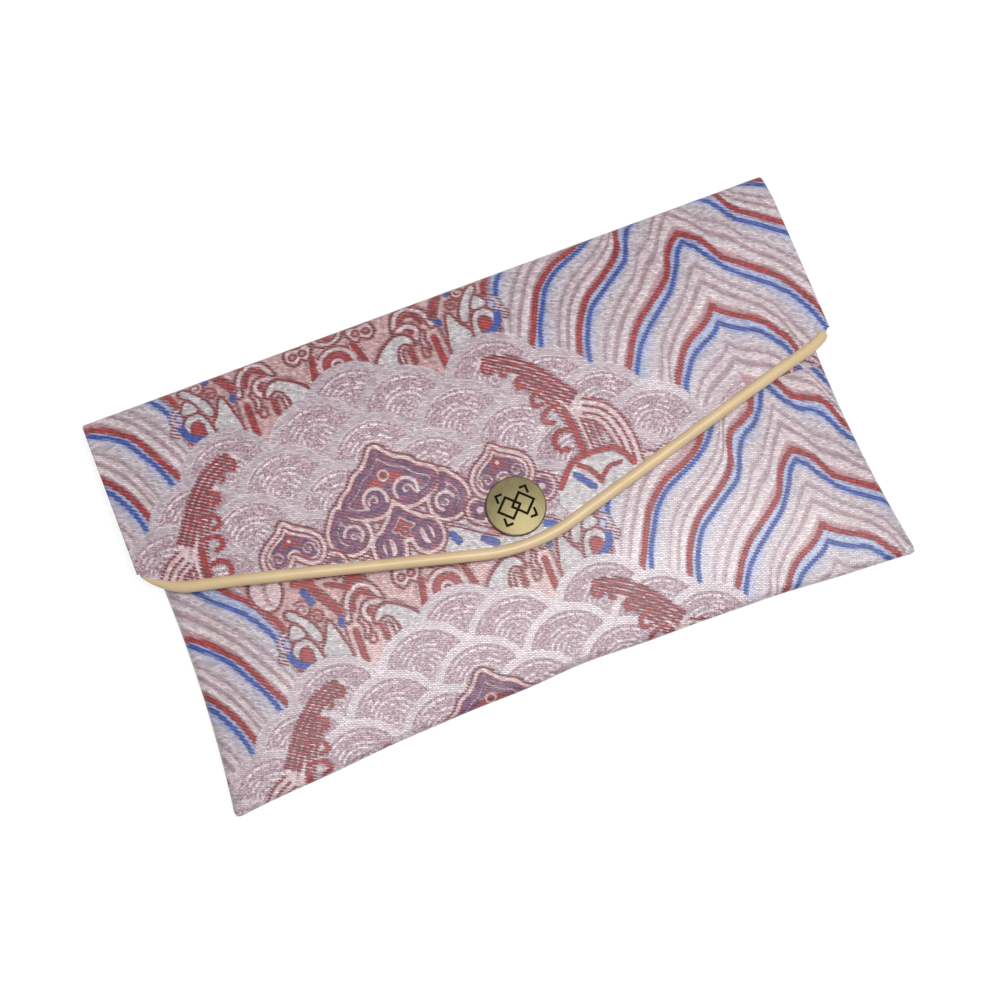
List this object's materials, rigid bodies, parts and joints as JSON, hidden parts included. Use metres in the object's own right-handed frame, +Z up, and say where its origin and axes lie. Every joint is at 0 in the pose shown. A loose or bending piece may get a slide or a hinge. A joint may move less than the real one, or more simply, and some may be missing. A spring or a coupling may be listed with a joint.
{
  "type": "fabric money envelope",
  "caption": "Flat padded brocade gift-money envelope with a V-shaped piped flap that folds over the pocket's mouth and closes with a brass press stud.",
  "frame": {"origin": "centre of the bounding box on the resting plane, under the middle of the back panel", "axes": "+X along the top fold, to the right seen from the flap's side; +Y from the bottom fold to the top fold; +Z up, out of the flap's side"},
  "size_m": [0.184, 0.105, 0.0121],
  "materials": {
    "brocade": "lilac and silver silk-look brocade, woven pattern",
    "interlining": "white felt-like interlining",
    "lining": "dull satin lining",
    "piping_satin": "cream satin bias strip",
    "cord": "white cotton cord",
    "thread": "polyester sewing thread",
    "antique_brass": "antiqued brass, engraving blackened",
    "plain_brass": "plain brass",
    "spring_steel": "spring steel wire"
  },
  "bodies": {
    "pouch": {"front_brocade": "brocade", "front_interlining": "interlining", "front_lining": "lining", "back_brocade": "brocade", "back_interlining": "interlining", "back_lining": "lining", "left_seam_thread": "thread", "right_seam_thread": "thread", "snap_stud": "plain_brass", "stud_rivet": "plain_brass"},
    "flap": {"flap_brocade": "brocade", "flap_interlining": "interlining", "flap_lining": "lining", "piping_cover": "piping_satin", "piping_cord": "cord", "piping_seam_thread": "thread", "cap_shell": "antique_brass", "cap_rivet": "plain_brass", "snap_socket": "plain_brass", "snap_spring": "spring_steel"}
  },
  "joints": [
    {"name": "flap_hinge", "type": "hinge", "parent": "pouch", "child": "flap", "pos_m": [0, 0.0525, 0.0014], "axis": [-1, 0, 0], "range_deg": [0, 155], "deforming": ["snap_spring"]}
  ]
}
